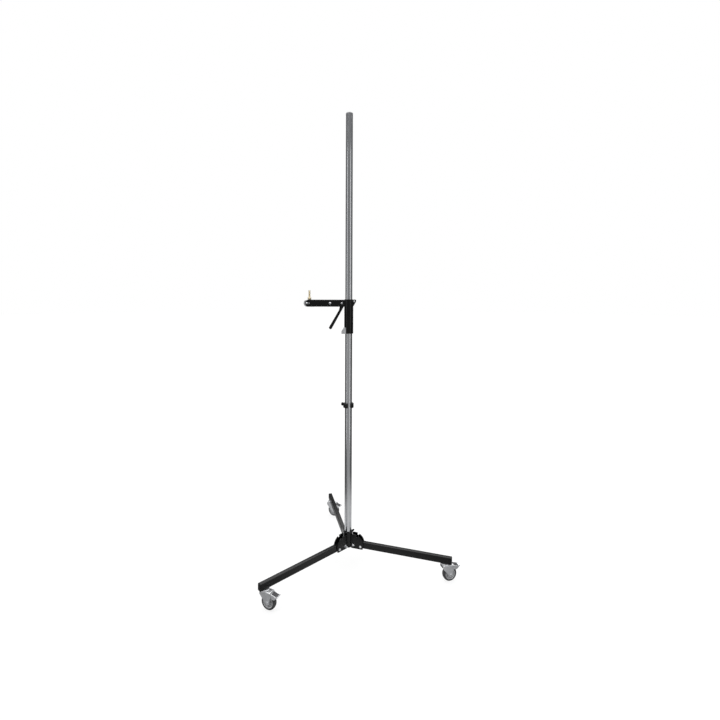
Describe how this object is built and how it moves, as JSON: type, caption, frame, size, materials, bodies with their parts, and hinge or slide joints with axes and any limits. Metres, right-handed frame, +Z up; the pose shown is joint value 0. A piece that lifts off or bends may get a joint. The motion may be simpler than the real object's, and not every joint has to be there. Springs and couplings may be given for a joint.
{
  "type": "rolling column stand",
  "caption": "Rolling studio stand: chrome column, three folding legs on braked swivel casters, and a sliding arm with a release lever and an upright threaded stud.",
  "frame": {"origin": "centre of the bounding box on the floor; the column's axis stands at x = -0.0722 m, y = -0.0674 m", "axes": "+Z up along the column, -X from the column towards the stud on the arm, +Y away from the viewer, towards the back leg"},
  "size_m": [0.9023, 0.8553, 2.2303],
  "materials": {
    "chrome": "polished tube",
    "black_coat": "satin black powder coat on steel",
    "black_plastic": "moulded black plastic",
    "grey_plastic": "moulded grey plastic",
    "zinc": "zinc-plated steel",
    "rubber": "dark grey soft tread",
    "brass": "machined brass",
    "nylon": "natural nylon bush"
  },
  "bodies": {
    "base": {"hub_body": "black_coat", "column_tube": "chrome", "column_cap": "grey_plastic", "bracket_right_a": "black_coat", "bracket_right_b": "black_coat", "clamp_bolt_right": "zinc", "pivot_bolt_right": "zinc", "bracket_back_a": "black_coat", "bracket_back_b": "black_coat", "clamp_bolt_back": "zinc", "pivot_bolt_back": "zinc", "bracket_left_a": "black_coat", "bracket_left_b": "black_coat", "clamp_bolt_left": "zinc", "pivot_bolt_left": "zinc"},
    "column_lock": {"column_lock_screw": "black_plastic"},
    "leg_right": {"leg_tube_right": "black_coat", "leg_end_cap_right": "black_plastic", "caster_stem_right": "zinc"},
    "caster_right": {"caster_fork_right": "zinc", "caster_axle_right": "zinc"},
    "wheel_right": {"wheel_centre_right": "grey_plastic", "tyre_right": "rubber"},
    "pedal_right": {"brake_pedal_right": "zinc"},
    "leg_back": {"leg_tube_back": "black_coat", "leg_end_cap_back": "black_plastic", "caster_stem_back": "zinc"},
    "caster_back": {"caster_fork_back": "zinc", "caster_axle_back": "zinc"},
    "wheel_back": {"wheel_centre_back": "grey_plastic", "tyre_back": "rubber"},
    "pedal_back": {"brake_pedal_back": "zinc"},
    "leg_left": {"leg_tube_left": "black_coat", "leg_end_cap_left": "black_plastic", "caster_stem_left": "zinc"},
    "caster_left": {"caster_fork_left": "zinc", "caster_axle_left": "zinc"},
    "wheel_left": {"wheel_centre_left": "grey_plastic", "tyre_left": "rubber"},
    "pedal_left": {"brake_pedal_left": "zinc"},
    "clip": {"stop_clip": "black_plastic"},
    "clip_knob": {"clip_screw": "black_plastic"},
    "bush": {"sleeve_liner": "nylon"},
    "arm": {"carriage_sleeve": "black_coat", "bracket_screw": "zinc", "upper_roller_bracket": "black_coat", "lower_roller_bracket": "zinc", "upper_roller_pin": "zinc", "lower_roller_pin": "zinc", "arm_channel": "black_coat", "nose_block": "grey_plastic", "nose_bolt": "zinc", "spacer_bolt": "zinc", "stud_lock_screw": "zinc", "stud": "brass", "lever_pin": "zinc"},
    "upper_roller": {"upper_roller": "black_plastic"},
    "lower_roller": {"lower_roller": "black_plastic"},
    "lever": {"brake_lever": "black_coat"},
    "shoe": {"brake_shoe": "black_plastic"}
  },
  "joints": [
    {"name": "leg_fold_right", "type": "hinge", "parent": "base", "child": "leg_right", "pos_m": [-0.00735, -0.08785, 0.092], "axis": [-0.3007, -0.9537, 0], "range_deg": [0, 90]},
    {"name": "caster_swivel_right", "type": "hinge", "parent": "leg_right", "child": "caster_right", "pos_m": [0.38082, -0.21024, 0.083], "axis": [0, 0, 1], "continuous": true},
    {"name": "wheel_spin_right", "type": "hinge", "parent": "caster_right", "child": "wheel_right", "pos_m": [0.40004, -0.20472, 0.0335], "axis": [-0.2756, 0.9613, 0], "continuous": true},
    {"name": "pedal_press_right", "type": "hinge", "parent": "caster_right", "child": "pedal_right", "pos_m": [0.4111, -0.20155, 0.07], "axis": [-0.2756, 0.9613, 0], "range_deg": [0, 15]},
    {"name": "leg_fold_back", "type": "hinge", "parent": "base", "child": "leg_back", "pos_m": [-0.08692, -0.00101, 0.092], "axis": [0.9763, 0.2164, 0], "range_deg": [0, 90]},
    {"name": "caster_swivel_back", "type": "hinge", "parent": "leg_back", "child": "caster_back", "pos_m": [-0.17501, 0.39634, 0.083], "axis": [0, 0, 1], "continuous": true},
    {"name": "wheel_spin_back", "type": "hinge", "parent": "caster_back", "child": "wheel_back", "pos_m": [-0.15735, 0.38695, 0.0335], "axis": [0.4695, 0.8829, 0], "continuous": true},
    {"name": "pedal_press_back", "type": "hinge", "parent": "caster_back", "child": "pedal_back", "pos_m": [-0.1472, 0.38155, 0.07], "axis": [0.4695, 0.8829, 0], "range_deg": [0, 15]},
    {"name": "leg_fold_left", "type": "hinge", "parent": "base", "child": "leg_left", "pos_m": [-0.12233, -0.11334, 0.092], "axis": [-0.6756, 0.7373, 0], "range_deg": [0, 90]},
    {"name": "caster_swivel_left", "type": "hinge", "parent": "leg_left", "child": "caster_left", "pos_m": [-0.42241, -0.38831, 0.083], "axis": [0, 0, 1], "continuous": true},
    {"name": "wheel_spin_left", "type": "hinge", "parent": "caster_left", "child": "wheel_left", "pos_m": [-0.40414, -0.39644, 0.0335], "axis": [0.4067, 0.9135, 0], "continuous": true},
    {"name": "pedal_press_left", "type": "hinge", "parent": "caster_left", "child": "pedal_left", "pos_m": [-0.39363, -0.40112, 0.07], "axis": [0.4067, 0.9135, 0], "range_deg": [0, 15]},
    {"name": "column_lock_turn", "type": "hinge", "parent": "base", "child": "column_lock", "pos_m": [-0.05908, -0.05537, 0.143], "axis": [0.7373, 0.6756, 0], "range_deg": [0, 180]},
    {"name": "clip_slide", "type": "slide", "parent": "base", "child": "clip", "axis": [0, 0, 1], "range_m": [-0.58, 0.04]},
    {"name": "clip_screw_turn", "type": "hinge", "parent": "clip", "child": "clip_knob", "pos_m": [-0.0722, -0.0674, 0.779], "axis": [-0.866, 0.5, 0], "range_deg": [0, 360]},
    {"name": "arm_slide", "type": "slide", "parent": "base", "child": "bush", "axis": [0, 0, 1], "range_m": [-0.3, 0.9]},
    {"name": "arm_swivel", "type": "hinge", "parent": "bush", "child": "arm", "pos_m": [-0.0722, -0.0674, 1.284], "axis": [0, 0, 1], "continuous": true},
    {"name": "lever_press", "type": "hinge", "parent": "arm", "child": "lever", "pos_m": [-0.1067, -0.0674, 1.284], "axis": [0, 1, 0], "range_deg": [0, 25], "stiffness_Nm_per_rad": 0.5, "springref_deg": -11.46},
    {"name": "shoe_slide", "type": "slide", "parent": "arm", "child": "shoe", "axis": [-1, 0, 0], "range_m": [0, 0.001]},
    {"name": "upper_roller_spin", "type": "hinge", "parent": "arm", "child": "upper_roller", "pos_m": [-0.0454, -0.0674, 1.2935], "axis": [0, 1, 0], "continuous": true},
    {"name": "lower_roller_spin", "type": "hinge", "parent": "arm", "child": "lower_roller", "pos_m": [-0.099, -0.0674, 1.1415], "axis": [0, 1, 0], "continuous": true}
  ],
  "couplings": [
    {"joint": "shoe_slide", "follows": "lever_press", "m_per_rad": 0.0018},
    {"joint": "upper_roller_spin", "follows": "arm_slide", "rad_per_m": -111.1},
    {"joint": "lower_roller_spin", "follows": "arm_slide", "rad_per_m": 111.1}
  ]
}
